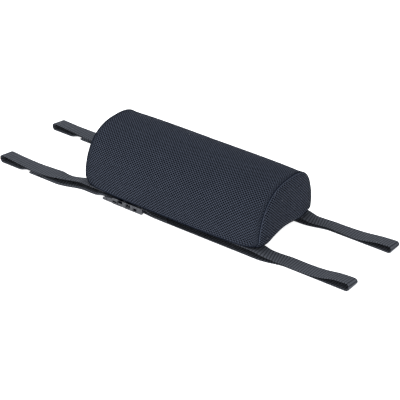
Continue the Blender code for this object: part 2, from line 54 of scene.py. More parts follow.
# Where the cushion lies, from the CAD nodes
leftEnd, rightEnd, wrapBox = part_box("cover_end_left"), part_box("cover_end_right"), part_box("cover_wrap_panel")
middleX = (leftEnd[0][0] + rightEnd[1][0]) / 2
middleY = (wrapBox[0][1] + wrapBox[1][1]) / 2
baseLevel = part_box("cover_base_front")[0][2]
halfLength = (rightEnd[1][0] - leftEnd[0][0]) / 2
endHalfDepth = (rightEnd[1][1] - rightEnd[0][1]) / 2
endHeight = rightEnd[1][2] - baseLevel
midHalfDepth = (wrapBox[1][1] - wrapBox[0][1]) / 2
midHeight = wrapBox[1][2] - baseLevel
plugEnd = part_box("front_buckle_plug")[0][0]


# ---- curves, grids and meshes ----

def easeIn(t):
    # smooth step of t, held at 0 and 1
    t = np.clip(t, 0, 1)
    return t * t * (3 - 2 * t)


def curveThrough(points, perSpan=14):
    # Catmull-Rom curve: each span is a cubic through its two ends, headed along their neighbours
    p = np.asarray(points, float)
    p = np.vstack([2 * p[0] - p[1], p, 2 * p[-1] - p[-2]])
    t = np.linspace(0, 1, perSpan, endpoint=False)[None, :, None]
    a, b, c, d = p[:-3, None], p[1:-2, None], p[2:-1, None], p[3:, None]
    square, cube = 2 * a - 5 * b + 4 * c - d, 3 * b - a - 3 * c + d
    spans = b + (c - a) * t / 2 + square * t ** 2 / 2 + cube * t ** 3 / 2
    return np.vstack([spans.reshape(-1, p.shape[1]), p[-2]])


def arcOf(centre, radius, first, last, count):
    # points on a circle between two angles in degrees
    a = np.radians(np.linspace(first, last, count))
    return np.stack([centre[0] + radius * np.cos(a), centre[1] + radius * np.sin(a)], -1)


def easedRise(start, end, count=16):
    # height goes over as half a cosine wave between two points
    t = np.linspace(0, 1, count)
    return np.stack([start[0] + (end[0] - start[0]) * t,
                     start[1] + (end[1] - start[1]) * (1 - np.cos(np.pi * t)) / 2], -1)


def evenly(points, step):
    # the same line with points a step apart
    points = np.asarray(points, float)
    gaps = np.linalg.norm(np.diff(points, axis=0), axis=1)
    points = points[np.r_[True, gaps > 1e-7]]
    run = np.r_[0, np.cumsum(np.linalg.norm(np.diff(points, axis=0), axis=1))]
    marks = np.linspace(0, run[-1], max(3, int(run[-1] / step) + 1))
    return np.stack([np.interp(marks, run, points[:, k]) for k in range(points.shape[1])], -1)


def gridFaces(rows, columns, ring=False, first=0):
    # quads of a grid numbered row by row; a ring joins its last column to its first
    r, c = np.meshgrid(np.arange(rows - 1), np.arange(columns if ring else columns - 1), indexing="ij")
    after = (c + 1) % columns
    return first + np.stack([r * columns + c, r * columns + after,
                             (r + 1) * columns + after, (r + 1) * columns + c], -1).reshape(-1, 4)


def makePiece(name, points, faces, cloth=None, material=None, sharp=None):
    # mesh object from arrays; cloth is each point's place on the flat fabric, in metres
    mesh = bpy.data.meshes.new(name)
    mesh.from_pydata(np.asarray(points).tolist(), [], [list(map(int, f)) for f in faces])
    if cloth is not None:
        corners = np.zeros(len(mesh.loops), np.int32)
        mesh.loops.foreach_get("vertex_index", corners)
        places = np.asarray(cloth, np.float32)[corners].ravel()
        mesh.uv_layers.new(name="cloth").data.foreach_set("uv", places)
    mesh.shade_smooth()
    if sharp:
        mesh.set_sharp_from_angle(angle=math.radians(sharp))
    if material:
        mesh.materials.append(material)
    piece = bpy.data.objects.new(name, mesh)
    bpy.context.scene.collection.objects.link(piece)
    return piece


def tidyMesh(piece, merge=0.01 * mm):
    # points that coincide become one and faces turn outwards
    work = bmesh.new()
    work.from_mesh(piece.data)
    bmesh.ops.remove_doubles(work, verts=work.verts, dist=merge)
    bmesh.ops.recalc_face_normals(work, faces=work.faces)
    work.to_mesh(piece.data)
    work.free()


def sweep(centres, sideways, upwards, profile, closed=False):
    # each profile point (a, b) goes to centre + sideways * a + upwards * b; one profile may serve every centre
    centres, sideways, upwards = (np.asarray(v)[:, None, :] for v in (centres, sideways, upwards))
    profile = profile[None] if profile.ndim == 2 else profile
    points = centres + sideways * profile[..., :1] + upwards * profile[..., 1:]
    rows, columns = points.shape[:2]
    faces = list(gridFaces(rows, columns, ring=True))
    start, first = (rows - 1) * columns, np.arange(columns)
    if closed:
        after = (first + 1) % columns
        return points.reshape(-1, 3), faces + list(np.stack([start + first, start + after, after, first], -1))
    return points.reshape(-1, 3), faces + [first[::-1], start + first]


def unit(v):
    return v / np.maximum(np.linalg.norm(v, axis=-1, keepdims=True), 1e-12)


def framesAlong(path, hint):
    # tangent by central differences; sideways is square to it and to the hint
    tangent = unit(np.gradient(path, axis=0))
    side = unit(np.cross(hint, tangent))
    return side, np.cross(tangent, side)


def addTube(name, path, radius, material, body, sides, hint, closed=False):
    # round thread or bead carried along a path
    path = np.asarray(path, float)
    if closed:
        around = np.vstack([path[-2:], path, path[:2]])
        side, up = (v[2:-2] for v in framesAlong(around, np.asarray(hint, float)))
    else:
        side, up = framesAlong(path, np.asarray(hint, float))
    a = np.linspace(0, 2 * np.pi, sides, endpoint=False)
    profile = np.stack([np.cos(a), np.sin(a)], -1)
    radius = np.broadcast_to(np.asarray(radius, float), (len(path),))
    points, faces = sweep(path, side, up, radius[:, None, None] * profile[None], closed)
    run = np.r_[0, np.cumsum(np.linalg.norm(np.diff(path, axis=0), axis=1))]
    cloth = np.stack([np.tile(a * radius.mean(), len(path)), np.repeat(run, sides)], -1)
    piece = makePiece(name, points, faces, cloth, material)
    tidyMesh(piece)
    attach(piece, body)
    return piece


# ---- shader groups ----

# shares of a hole's radius, and the pitch of the knitted yarns between the holes
knit = {"rim": 0.62, "shoulder": 1.35, "yarnAlong": 0.66 * mm, "yarnAcross": 0.9 * mm}
ribShape = {"yarnShare": 0.3, "gap": (0.15, 0.8)}
grainNoise = {"slow": 22.0, "quick": 900.0, "dust": (0.55, 0.75), "dustColour": (0.35, 0.35, 0.36, 1.0)}
# lighter edges, partly wear and partly a painted highlight
wearAndHighlight = {"samples": 4, "edge": (0.05, 0.45), "patch": 260.0, "patchRange": (0.3, 0.6),
        "width": 0.7 * mm, "amount": 0.65}


def newGroup(name, inputs, outputs):
    # an input that is Colour is a colour, one without a number is a vector, and the rest are numbers
    group = bpy.data.node_groups.new(name, "ShaderNodeTree")
    for label, value in inputs.items():
        kind = "Color" if label == "Colour" else "Vector" if value is None else "Float"
        made = group.interface.new_socket(name=label, in_out="INPUT", socket_type="NodeSocket" + kind)
        if value is not None:
            made.default_value = value
    for label in outputs:
        kind = "Color" if label == "Colour" else "Float"
        group.interface.new_socket(name=label, in_out="OUTPUT", socket_type="NodeSocket" + kind)
    return group, group.nodes.new("NodeGroupInput"), group.nodes.new("NodeGroupOutput")


def maths(tree, kind, *values, clamp=False):
    node = tree.nodes.new("ShaderNodeMath")
    node.operation, node.use_clamp = kind, clamp
    for k, value in enumerate(values):
        feed(tree, value, node.inputs[k])
    return node.outputs[0]


def vectorMaths(tree, kind, *values):
    node = tree.nodes.new("ShaderNodeVectorMath")
    node.operation = kind
    for k, value in enumerate(values):
        feed(tree, value, node.inputs[3 if kind == "SCALE" and k == 1 else k])
    return node.outputs[1 if kind == "DISTANCE" else 0]


def feed(tree, value, socket):
    if isinstance(value, bpy.types.NodeSocket):
        tree.links.new(value, socket)
    else:
        socket.default_value = value


def easedRange(tree, value, low, high, toLow=0.0, toHigh=1.0):
    node = tree.nodes.new("ShaderNodeMapRange")
    node.interpolation_type = "SMOOTHSTEP"
    for k, given in enumerate((value, low, high, toLow, toHigh)):
        feed(tree, given, node.inputs[k])
    return node.outputs[0]


def noiseOf(tree, place, scale, detail):
    node = tree.nodes.new("ShaderNodeTexNoise")
    feed(tree, place, node.inputs["Vector"])
    for label, value in (("Scale", scale), ("Detail", detail)):
        feed(tree, value, node.inputs[label])
    return node.outputs["Fac"]


def mixColour(tree, share, first, second):
    node = tree.nodes.new("ShaderNodeMix")
    node.data_type = "RGBA"
    for label, value in ((0, share), (6, first), (7, second)):
        feed(tree, value, node.inputs[label])
    return node.outputs[2]


def makeMeshHoles():
    # staggered holes: distance to the nearest point of a grid and of the same grid moved half a cell each way
    group, ins, outs = newGroup("meshHoles", {"Place": None, "Along": 0.0046, "Across": 0.00435, "Hole": 0.4},
                                ("Open", "Height", "Yarn"))
    split = group.nodes.new("ShaderNodeSeparateXYZ")
    group.links.new(ins.outputs["Place"], split.inputs[0])
    u = maths(group, "DIVIDE", split.outputs[0], ins.outputs["Along"])
    v = maths(group, "DIVIDE", split.outputs[1], ins.outputs["Across"])
    gaps = []
    for shift in (0.0, 0.5):
        x = maths(group, "SUBTRACT", maths(group, "FRACT", maths(group, "ADD", u, shift)), 0.5)
        y = maths(group, "SUBTRACT", maths(group, "FRACT", maths(group, "ADD", v, shift)), 0.5)
        gaps.append(maths(group, "SQRT", maths(group, "ADD", maths(group, "MULTIPLY", x, x),
                                               maths(group, "MULTIPLY", y, y))))
    near = maths(group, "MINIMUM", *gaps)
    rim = maths(group, "MULTIPLY", ins.outputs["Hole"], knit["rim"])
    opening = easedRange(group, near, rim, ins.outputs["Hole"], 1.0, 0.0)
    height = easedRange(group, near, rim, maths(group, "MULTIPLY", ins.outputs["Hole"], knit["shoulder"]))
    fine = maths(group, "SINE", maths(group, "MULTIPLY", split.outputs[0], 2 * math.pi / knit["yarnAlong"]))
    cross = maths(group, "SINE", maths(group, "MULTIPLY", split.outputs[1], 2 * math.pi / knit["yarnAcross"]))
    yarn = maths(group, "MULTIPLY_ADD", maths(group, "MULTIPLY", fine, cross), 0.5, 0.5)
    group.links.new(opening, outs.inputs["Open"])
    group.links.new(height, outs.inputs["Height"])
    group.links.new(yarn, outs.inputs["Yarn"])
    return group


def makeWovenRibs():
    # ribs across a band, each a rounded ridge, broken into yarns that step half a yarn from rib to rib
    group, ins, outs = newGroup("wovenRibs", {"Place": None, "Rib": 0.0025, "Yarn": 0.0014},
                                ("Height", "Gap"))
    split = group.nodes.new("ShaderNodeSeparateXYZ")
    group.links.new(ins.outputs["Place"], split.inputs[0])
    along = maths(group, "DIVIDE", split.outputs[1], ins.outputs["Rib"])
    across = maths(group, "DIVIDE", split.outputs[0], ins.outputs["Yarn"])
    step = maths(group, "MULTIPLY", maths(group, "FLOOR", along), 0.5)
    ridge = maths(group, "ABSOLUTE", maths(group, "SINE", maths(group, "MULTIPLY", along, math.pi)))
    yarn = maths(group, "ABSOLUTE", maths(group, "SINE", maths(group, "MULTIPLY",
                                                             maths(group, "ADD", across, step), math.pi)))
    share = ribShape["yarnShare"]
    height = maths(group, "MULTIPLY", ridge, maths(group, "MULTIPLY_ADD", yarn, share, 1 - share))
    group.links.new(height, outs.inputs["Height"])
    # Gap marks the hollows between ribs, where shade is painted
    group.links.new(easedRange(group, height, *ribShape["gap"], 1.0, 0.0), outs.inputs["Gap"])
    return group


def makeFineGrain():
    # slow and quick noise that lifts and lowers a colour, with a little dust
    group, ins, outs = newGroup("fineGrain", {"Place": None, "Colour": None, "Spread": 0.12, "Dust": 0.05},
                                ("Colour", "Roughen", "Height"))
    slow = noiseOf(group, ins.outputs["Place"], grainNoise["slow"], 3.0)
    quick = noiseOf(group, ins.outputs["Place"], grainNoise["quick"], 2.0)
    swing = maths(group, "MULTIPLY", maths(group, "SUBTRACT", maths(group, "ADD", slow, quick), 1.0),
                  ins.outputs["Spread"])
    lift = maths(group, "ADD", swing, 1.0)
    scaled = vectorMaths(group, "SCALE", ins.outputs["Colour"], lift)
    dusty = maths(group, "MULTIPLY", easedRange(group, quick, *grainNoise["dust"]), ins.outputs["Dust"])
    group.links.new(mixColour(group, dusty, scaled, grainNoise["dustColour"]), outs.inputs["Colour"])
    group.links.new(swing, outs.inputs["Roughen"])
    group.links.new(quick, outs.inputs["Height"])
    return group


def makeEdgeWearAndHighlight():
    # where the rounded normal leaves the true one, the surface is an edge; edges are lightened, partly as wear
    # and partly as a painted highlight
    group, ins, outs = newGroup("edgeWearAndHighlight", {"Place": None, "Width": 0.0008, "Amount": 0.5}, ("WornAndLit",))
    bevel = group.nodes.new("ShaderNodeBevel")
    bevel.samples = wearAndHighlight["samples"]
    group.links.new(ins.outputs["Width"], bevel.inputs["Radius"])
    geometry = group.nodes.new("ShaderNodeNewGeometry")
    off = vectorMaths(group, "DISTANCE", bevel.outputs[0], geometry.outputs["Normal"])
    patch = noiseOf(group, ins.outputs["Place"], wearAndHighlight["patch"], 3.0)
    wornAndLit = maths(group, "MULTIPLY", easedRange(group, off, *wearAndHighlight["edge"]),
                 easedRange(group, patch, *wearAndHighlight["patchRange"]))
    group.links.new(maths(group, "MULTIPLY", wornAndLit, ins.outputs["Amount"]), outs.inputs["WornAndLit"])
    return group


def makeSlotShadeBox():
    # painted shade of a slot, window or groove: inside a box in x and z, the least distance to its four sides,
    # divided by a soft width
    group, ins, outs = newGroup("slotShadeBox", {"Place": None, "Low": None, "High": None, "Soft": 0.0003},
                                ("Inside",))
    gaps = []
    for first, second in (("Place", "Low"), ("High", "Place")):
        split = group.nodes.new("ShaderNodeSeparateXYZ")
        past = vectorMaths(group, "SUBTRACT", ins.outputs[first], ins.outputs[second])
        group.links.new(past, split.inputs[0])
        gaps.append(maths(group, "MINIMUM", split.outputs[0], split.outputs[2]))
    inside = maths(group, "DIVIDE", maths(group, "MINIMUM", *gaps), ins.outputs["Soft"], clamp=True)
    group.links.new(inside, outs.inputs["Inside"])
    return group


groups = {"slotShadeBox": makeSlotShadeBox(), "meshHoles": makeMeshHoles(), "wovenRibs": makeWovenRibs(),
          "fineGrain": makeFineGrain(), "edgeWearAndHighlight": makeEdgeWearAndHighlight()}


# ---- finishes ----

# gloss is the specular level; spread and dust belong to the fine grain; relief is the bump's height
finishes = {
    # the recess colour is painted shade: the depth of the mesh's holes, and the gaps between a band's ribs
    "airMesh": {"colour": (0.068, 0.080, 0.112), "recessShade": (0.0006, 0.0009, 0.0025), "roughness": 0.9,
                "gloss": 0.05, "along": 4.6 * mm, "across": 4.35 * mm, "hole": 0.37, "relief": 1.2 * mm,
                "yarnShade": 0.6, "yarnShare": 0.25, "yarnRelief": 0.12, "spread": 0.22, "dust": 0.03,
                # distances from a seam: the holes come in over plain, and the painted shade in the seam's crease
                # fades out over the next span, at the strength after it
                "plain": (1.2 * mm, 2.4 * mm), "creaseShadeSpan": (0.5 * mm, 1.3 * mm), "creaseShade": 0.85},
    "belt": {"colour": (0.066, 0.071, 0.084), "recessShade": (0.001, 0.0015, 0.003), "roughness": 0.8, "gloss": 0.08,
             "rib": 4.0 * mm, "yarn": 1.6 * mm, "relief": 0.6 * mm, "gapShade": 0.72,
             "spread": 0.25, "dust": 0.05},
    "tape": {"colour": (0.022, 0.023, 0.027), "recessShade": (0.006, 0.006, 0.008), "roughness": 0.75, "gloss": 0.08,
             "rib": 0.9 * mm, "yarn": 0.7 * mm, "relief": 0.12 * mm, "gapShade": 0.72,
             "spread": 0.25, "dust": 0.05},
    # the seam bead's near-black colour is painted shade of the groove along each seam
    "seamGrooveShade": {"colour": (0.006, 0.008, 0.014), "roughness": 0.9, "spread": 0.3, "gloss": 0.03},
    "thread": {"colour": (0.030, 0.031, 0.036), "roughness": 0.55, "spread": 0.3, "gloss": 0.15},
    "foam": {"colour": (0.62, 0.62, 0.60), "roughness": 0.95},
    "coil": {"colour": (0.020, 0.020, 0.023), "roughness": 0.45},
    # the light edge colour of plastic and metal is wear and a painted highlight
    "plastic": {"colour": (0.014, 0.016, 0.024), "wornAndLit": (0.34, 0.35, 0.37), "roughness": 0.4,
                "spread": 0.15, "dust": 0.02, "relief": 0.03 * mm, "slotShadeColour": (0.001, 0.0012, 0.003),
                # painted shade of slots, windows and grooves, as (from, to) past the plug's end and (from, to)
                # above the floor, in mm
                "slotShades": [((7.0, 8.2), (-1, 9)), ((18.5, 26.0), (3.0, 5.8)), ((27.0, 28.6), (-1, 11)),
                          ((28.6, 36.4), (5.0, 11)), ((42.5, 44.0), (-1, 11)), ((44.0, 50.5), (3.6, 11)),
                          ((55.7, 62.0), (2.6, 6.8))]},
    "metal": {"colour": (0.06, 0.06, 0.065), "wornAndLit": (0.45, 0.45, 0.46), "roughness": 0.34,
              "spread": 0.15, "relief": 0.01 * mm, "metallic": 0.9},
}
# what a grained finish has where it says nothing else
usual = {"spread": 0.1, "dust": 0.0, "relief": 0.02 * mm, "metallic": 0.0, "gloss": 0.5, "roughen": 0.35}


def placeGroup(tree, name, **values):
    node = tree.nodes.new("ShaderNodeGroup")
    node.node_tree = groups[name]
    for label, value in values.items():
        feed(tree, value, node.inputs[label])
    return node


def newMaterial(name, roughness, metallic=0.0, gloss=0.5):
    made = bpy.data.materials.new(name)
    made.use_nodes = True
    tree = made.node_tree
    shader = tree.nodes["Principled BSDF"]
    for label, value in (("Roughness", roughness), ("Metallic", metallic), ("Specular IOR Level", gloss)):
        shader.inputs[label].default_value = value
    spots = tree.nodes.new("ShaderNodeTexCoord")
    return made, tree, shader, spots.outputs["Object"]


def addBump(tree, shader, height, distance):
    bump = tree.nodes.new("ShaderNodeBump")
    bump.inputs["Strength"].default_value = 1.0
    bump.inputs["Distance"].default_value = distance
    tree.links.new(height, bump.inputs["Height"])
    tree.links.new(bump.outputs[0], shader.inputs["Normal"])


def clothPlace(tree):
    node = tree.nodes.new("ShaderNodeUVMap")
    node.uv_map = "cloth"
    return node.outputs[0]


def grainOf(tree, spots, f):
    return placeGroup(tree, "fineGrain", Place=spots, Colour=(*f["colour"], 1.0), Spread=f["spread"],
                      Dust=f["dust"])


def meshMaterial():
    # holes and yarns over the cloth, with painted shade in the holes' depth, plain towards a seam, and painted
    # shade in the crease at the seam
    f = finishes["airMesh"]
    made, tree, shader, spots = newMaterial("airMesh", f["roughness"], gloss=f["gloss"])
    holes = placeGroup(tree, "meshHoles", Place=clothPlace(tree), Along=f["along"], Across=f["across"],
                       Hole=f["hole"])
    near = tree.nodes.new("ShaderNodeAttribute")
    near.attribute_name = "seamGap"
    away = easedRange(tree, near.outputs["Fac"], *f["plain"])
    grain = grainOf(tree, spots, f)
    yarn = maths(tree, "MULTIPLY", holes.outputs["Yarn"], f["yarnShare"])
    shade = mixColour(tree, yarn, grain.outputs["Colour"], (*[c * f["yarnShade"] for c in f["colour"]], 1.0))
    # painted shade: the holes' depth and the crease at a seam darken the colour
    opening = maths(tree, "MULTIPLY", holes.outputs["Open"], away)
    creaseShadeMask = easedRange(tree, near.outputs["Fac"], *f["creaseShadeSpan"], f["creaseShade"], 0.0)
    dark = maths(tree, "MAXIMUM", opening, creaseShadeMask)
    tree.links.new(mixColour(tree, dark, shade, (*f["recessShade"], 1.0)), shader.inputs["Base Color"])
    relief = maths(tree, "SUBTRACT", 1.0, maths(tree, "MULTIPLY", away, maths(
        tree, "SUBTRACT", 1.0, holes.outputs["Height"])))
    height = maths(tree, "MULTIPLY_ADD", holes.outputs["Yarn"], f["yarnRelief"], relief)
    addBump(tree, shader, height, f["relief"])
    return made


def bandMaterial(name, objectPlace=False):
    f = finishes[name]
    made, tree, shader, spots = newMaterial(name, f["roughness"], gloss=f["gloss"])
    ribs = placeGroup(tree, "wovenRibs", Place=spots if objectPlace else clothPlace(tree), Rib=f["rib"],
                      Yarn=f["yarn"])
    grain = grainOf(tree, spots, f)
    # painted shade: the gaps between the ribs are darkened in the colour
    gap = maths(tree, "MULTIPLY", ribs.outputs["Gap"], f["gapShade"])
    colour = mixColour(tree, gap, grain.outputs["Colour"], (*f["recessShade"], 1.0))
    tree.links.new(colour, shader.inputs["Base Color"])
    addBump(tree, shader, ribs.outputs["Height"], f["relief"])
    return made


def grainMaterial(name):
    # grained colour, with painted shade in slots and grooves, and edges lightened partly by wear and partly by a
    # painted highlight, where the finish has them
    f = {**usual, **finishes[name]}
    made, tree, shader, spots = newMaterial(name, f["roughness"], f["metallic"], f["gloss"])
    grain = grainOf(tree, spots, f)
    colour = grain.outputs["Colour"]
    rough = maths(tree, "MULTIPLY_ADD", grain.outputs["Roughen"], f["roughen"], f["roughness"], clamp=True)
    shine = f["gloss"]
    for (left, right), (low, high) in f.get("slotShades", []):
        # each box is painted shade of a slot, window or groove, and loses its gloss
        slotShade = placeGroup(tree, "slotShadeBox", Place=spots, Low=(plugEnd + left * mm, 0, low * mm),
                          High=(plugEnd + right * mm, 0, high * mm))
        colour = mixColour(tree, slotShade.outputs["Inside"], colour, (*f["slotShadeColour"], 1.0))
        shine = maths(tree, "MULTIPLY", shine, maths(tree, "SUBTRACT", 1.0, slotShade.outputs["Inside"]))
    if "slotShades" in f:
        tree.links.new(shine, shader.inputs["Specular IOR Level"])
    if "wornAndLit" in f:
        # lighter edges: wear, and a painted highlight
        edges = placeGroup(tree, "edgeWearAndHighlight", Place=spots, Width=wearAndHighlight["width"], Amount=wearAndHighlight["amount"])
        colour = mixColour(tree, edges.outputs["WornAndLit"], colour, (*f["wornAndLit"], 1.0))
    tree.links.new(colour, shader.inputs["Base Color"])
    tree.links.new(rough, shader.inputs["Roughness"])
    addBump(tree, shader, grain.outputs["Height"], f["relief"])
    return made


materials = {"mesh": meshMaterial(), "belt": bandMaterial("belt"), "tape": bandMaterial("tape", True)}
for kind in ("thread", "seamGrooveShade", "foam", "coil", "plastic", "metal"):
    materials[kind] = grainMaterial(kind)
print("finishes:", ", ".join(materials))


# ---- the padded cushion ----

cushion = {
    "power": 2.6,              # section: |y/a|^n + |z/b|^n = 1
    "slack": 1.6 * mm,         # the long panel starts this much inside the seams' surface
    "slackReach": 14 * mm,     # from this far off the seams
    "swell": 3.4 * mm,         # no point of the cover swells by more than this
    "pressure": 4.0, "quality": 6, "stiffness": 20, "bending": 2.0, "frames": 20,
    "corner": 10 * mm,         # radius between the long panel and the ends
    "seamAngle": 60,           # where the end seam lies on that round, from the end's own direction
    "puff": 4.5 * mm,          # how far the ends stand out past the base
    "puffRise": 10 * mm,       # height over which they come to do so
    "dome": 2.5 * mm,          # how much further the middle of each end stands out
    "bowRise": 5.0 * mm, "bowIn": 1.5 * mm, "bowHalf": 46 * mm, "bowReach": 34 * mm, "bowTop": 0.55,
    "cornerRise": 3.0 * mm, "cornerIn": 0.5, "cornerReach": 16 * mm, "cornerTop": 20 * mm,
    "zipHalf": 5.0 * mm, "zipDepth": 4.2 * mm, "zipEdge": 0.5 * mm, "zipReach": 140 * mm,
    # stations: the step near the edges, the step elsewhere, and how far in from the edges the fine one goes
    "along": (2.2 * mm, 5.0 * mm, 12 * mm), "round": (0.016, 0.036, 0.08), "upEnd": (0.05, 0.11, 0.15),
    "endCloth": (0.4, 0.1),    # where the end panels lie on the flat cloth
    "merge": 0.02 * mm, "near": 0.1 * mm, "onWrap": 0.985,
}
seams = {"radius": 0.9 * mm, "lip": 0.85, "pucker": 4.2 * mm, "puckerDepth": 0.05, "step": 1.0 * mm,
         "offset": 0.1 * mm, "baseRise": 0.9 * mm, "archPoints": 200, "lowPoints": 110, "basePoints": 300}


def fullness(x):
    # 1 at mid length, falling with the fourth power to 0 at the ends
    return 1 - (x / halfLength) ** 4


def sectionSize(x):
    return (endHalfDepth + (midHalfDepth - endHalfDepth) * fullness(x),
            endHeight + (midHeight - endHeight) * fullness(x))


def archAt(x, shares):
    # superellipse over the top at each x, with points at the given shares of its length; also that length
    angle = np.linspace(0, np.pi, 721)
    c, s = np.cos(angle), np.abs(np.sin(angle))
    e = 2 / cushion["power"]
    a, b = (v[:, None] for v in sectionSize(x))
    y = -a * np.sign(c) * np.abs(c) ** e
    z = b * s ** e
    run = np.hstack([np.zeros((len(x), 1)), np.cumsum(np.hypot(np.diff(y), np.diff(z)), axis=1)])
    angle = np.array([np.interp(shares * r[-1], r, angle) for r in run])
    c, s = np.cos(angle), np.abs(np.sin(angle))
    return -a * np.sign(c) * np.abs(c) ** e, b * s ** e, run[:, -1]


def roundEnds(points, tag):
    # the ends puff out above the base, and their edges are quarter rounds with the seam partway along each;
    # tag is 0 on the long panel, 1 on an end and 2 on the base, and the ends dome outwards
    x, y, z = points.T
    side, r, seamAt = np.sign(x), cushion["corner"], np.radians(cushion["seamAngle"])
    full = halfLength + cushion["puff"] * easeIn(z / cushion["puffRise"])
    a, b = sectionSize(x)
    n = cushion["power"]
    q = np.maximum((np.abs(y / a) ** n + np.abs(z / b) ** n) ** (1 / n), 1e-6)
    reach = np.hypot(y, z) / q
    x = np.abs(x) * full / halfLength
    u = np.clip(1 - (full - x) / r, 0, 1)
    v = np.clip(1 - np.clip(reach * (1 - q), 0, None) / r, 0, 1)
    # square corner to round corner: rings of equal distance become arcs
    most = np.maximum(np.maximum(u, v), 1e-9)
    turn = np.where(u >= v, seamAt * v / most, np.pi / 2 - (np.pi / 2 - seamAt) * u / most)
    inside = (u > 0) & (v > 0)
    newX = np.where(inside, full - r + r * most * np.cos(turn), x)
    newReach = np.where(inside, reach - r + r * most * np.sin(turn), reach * q)
    scale = newReach / np.maximum(reach * q, 1e-9)
    dome = cushion["dome"] * (tag == 1) * np.clip(1 - q ** 2, 0, 1) * easeIn(z / cushion["puffRise"])
    return np.stack([side * (newX + dome), y * scale, z * scale], -1)


def settle(points):
    # the base's ends bow up and in between the belts, and the four corners lift a little
    x, y, z = points.T
    side = np.sign(x)
    nearEnd = np.clip((np.abs(x) - (halfLength - cushion["bowReach"])) / cushion["bowReach"], 0, 1) ** 3
    between = np.clip(1 - (y / cushion["bowHalf"]) ** 2, 0, None) ** 1.5
    low = np.clip(1 - z / (cushion["bowTop"] * endHeight), 0, 1) ** 2
    lift = cushion["bowRise"] * nearEnd * between * low
    inward = cushion["bowIn"] * nearEnd * between * low
    gap = np.hypot(halfLength - np.abs(x), endHalfDepth - np.abs(y))
    corner = cushion["cornerRise"] * np.exp(-(gap / cushion["cornerReach"]) ** 2)
    corner = corner * np.clip(1 - z / cushion["cornerTop"], 0, 1)
    return np.stack([x - side * inward, y - np.sign(y) * corner * cushion["cornerIn"], z + lift + corner], -1)


def spread(half, fine, coarse, fineSpan):
    # stations from -half to half, closer together near both ends
    near = half - np.arange(0, fineSpan, fine)
    inner = half - fineSpan
    middle = np.linspace(-inner, inner, int(2 * inner / coarse) + 1)
    return np.r_[-near, middle, near[::-1]]


def cushionShell():
    # closed shell of four panels: the long one, the base with columns at the zip's mouth, and the two ends
    xs = spread(halfLength, *cushion["along"])
    shares = (spread(1.0, *cushion["round"]) + 1) / 2
    n, m = len(xs), len(shares)
    y, z, length = archAt(xs, shares)
    x = np.broadcast_to(xs[:, None], y.shape)
    wrap = np.stack([x, y, z], -1).reshape(-1, 3)
    wrapCloth = np.stack([x, (shares[None, :] - 0.5) * length[:, None]], -1).reshape(-1, 2)
    flat = 2 * shares - 1
    middle = np.argmin(np.abs(flat))
    mouth = np.array([-cushion["zipHalf"] - cushion["zipEdge"], -cushion["zipHalf"], 0])
    mouth = np.r_[mouth, -mouth[1::-1]]
    flatY = y[:, -1:] * flat[None, :]
    flatY[:, middle - 2:middle + 3] = mouth
    base = np.stack([x, flatY, np.zeros_like(flatY)], -1).reshape(-1, 3)
    points, cloth = [wrap, base], [wrapCloth, base[:, :2]]
    faces = [gridFaces(n, m), gridFaces(n, m, first=n * m)]
    count = 2 * n * m
    rows = np.r_[0, (spread(1.0, *cushion["upEnd"]) + 1) / 2, 1]
    rows = np.unique(np.round(rows, 6))[:, None]
    for end, row in ((-1, 0), (1, n - 1)):
        low = base.reshape(n, m, 3)[row]
        high = wrap.reshape(n, m, 3)[row]
        panel = (low[None] * (1 - rows[..., None]) + high[None] * rows[..., None]).reshape(-1, 3)
        points.append(panel)
        cloth.append(panel[:, 1:] * (end, 1) + cushion["endCloth"])
        faces.append(gridFaces(len(rows), m, first=count))
        count += len(panel)
    return np.vstack(points), np.vstack(cloth), np.vstack(faces)


def readPoints(mesh):
    at = np.zeros(len(mesh.vertices) * 3, np.float32)
    mesh.vertices.foreach_get("co", at)
    return at.reshape(-1, 3).astype(float)


def writePoints(mesh, points):
    mesh.vertices.foreach_set("co", points.astype(np.float32).ravel())
    mesh.update()


def swellOut(piece, held):
    # the cover is blown up like a bag held at its seams, and no point moves further than the swell
    start = readPoints(piece.data)
    pins = piece.vertex_groups.new(name="held")
    for weight in np.unique(np.round(held, 1)):
        if weight > 0:
            pins.add(np.nonzero(np.round(held, 1) == weight)[0].tolist(), float(weight), "REPLACE")
    cloth = piece.modifiers.new("swell", "CLOTH")
    settings = cloth.settings
    settings.vertex_group_mass = "held"
    settings.use_pressure = True
    settings.uniform_pressure_force = cushion["pressure"]
    settings.effector_weights.gravity = 0
    settings.quality = cushion["quality"]
    settings.tension_stiffness = settings.compression_stiffness = cushion["stiffness"]
    settings.bending_stiffness = cushion["bending"]
    cloth.collision_settings.use_collision = False
    scene = bpy.context.scene
    for k in range(1, cushion["frames"] + 1):
        scene.frame_set(k)
    shaped = piece.evaluated_get(bpy.context.evaluated_depsgraph_get())
    moved = readPoints(shaped.data) - start
    piece.modifiers.clear()
    piece.vertex_groups.clear()
    scene.frame_set(1)
    far = np.linalg.norm(moved, axis=1, keepdims=True)
    limit = cushion["swell"]
    moved *= limit * np.tanh(far / limit) / np.maximum(far, 1e-9)
    print("swelling: mean", round(float(far.mean()) / mm, 2), "mm, most",
          round(float(far.max()) / mm, 2), "mm")
    return start + moved


def seamGaps(at, share, onEnd, onBase):
    # how far each point lies from the nearest seam, measured over the cloth
    reach = np.hypot(at[:, 1], at[:, 2]) / np.maximum(share, 1e-6)
    toArch = reach * np.clip(1 - share, 0, None)
    toEnd = halfLength - np.abs(at[:, 0])
    ofWrap = np.minimum(toEnd, at[:, 2] * seams["lip"])
    return np.where(onEnd, np.minimum(toArch, at[:, 2]), np.where(onBase, np.minimum(toEnd, toArch), ofWrap))


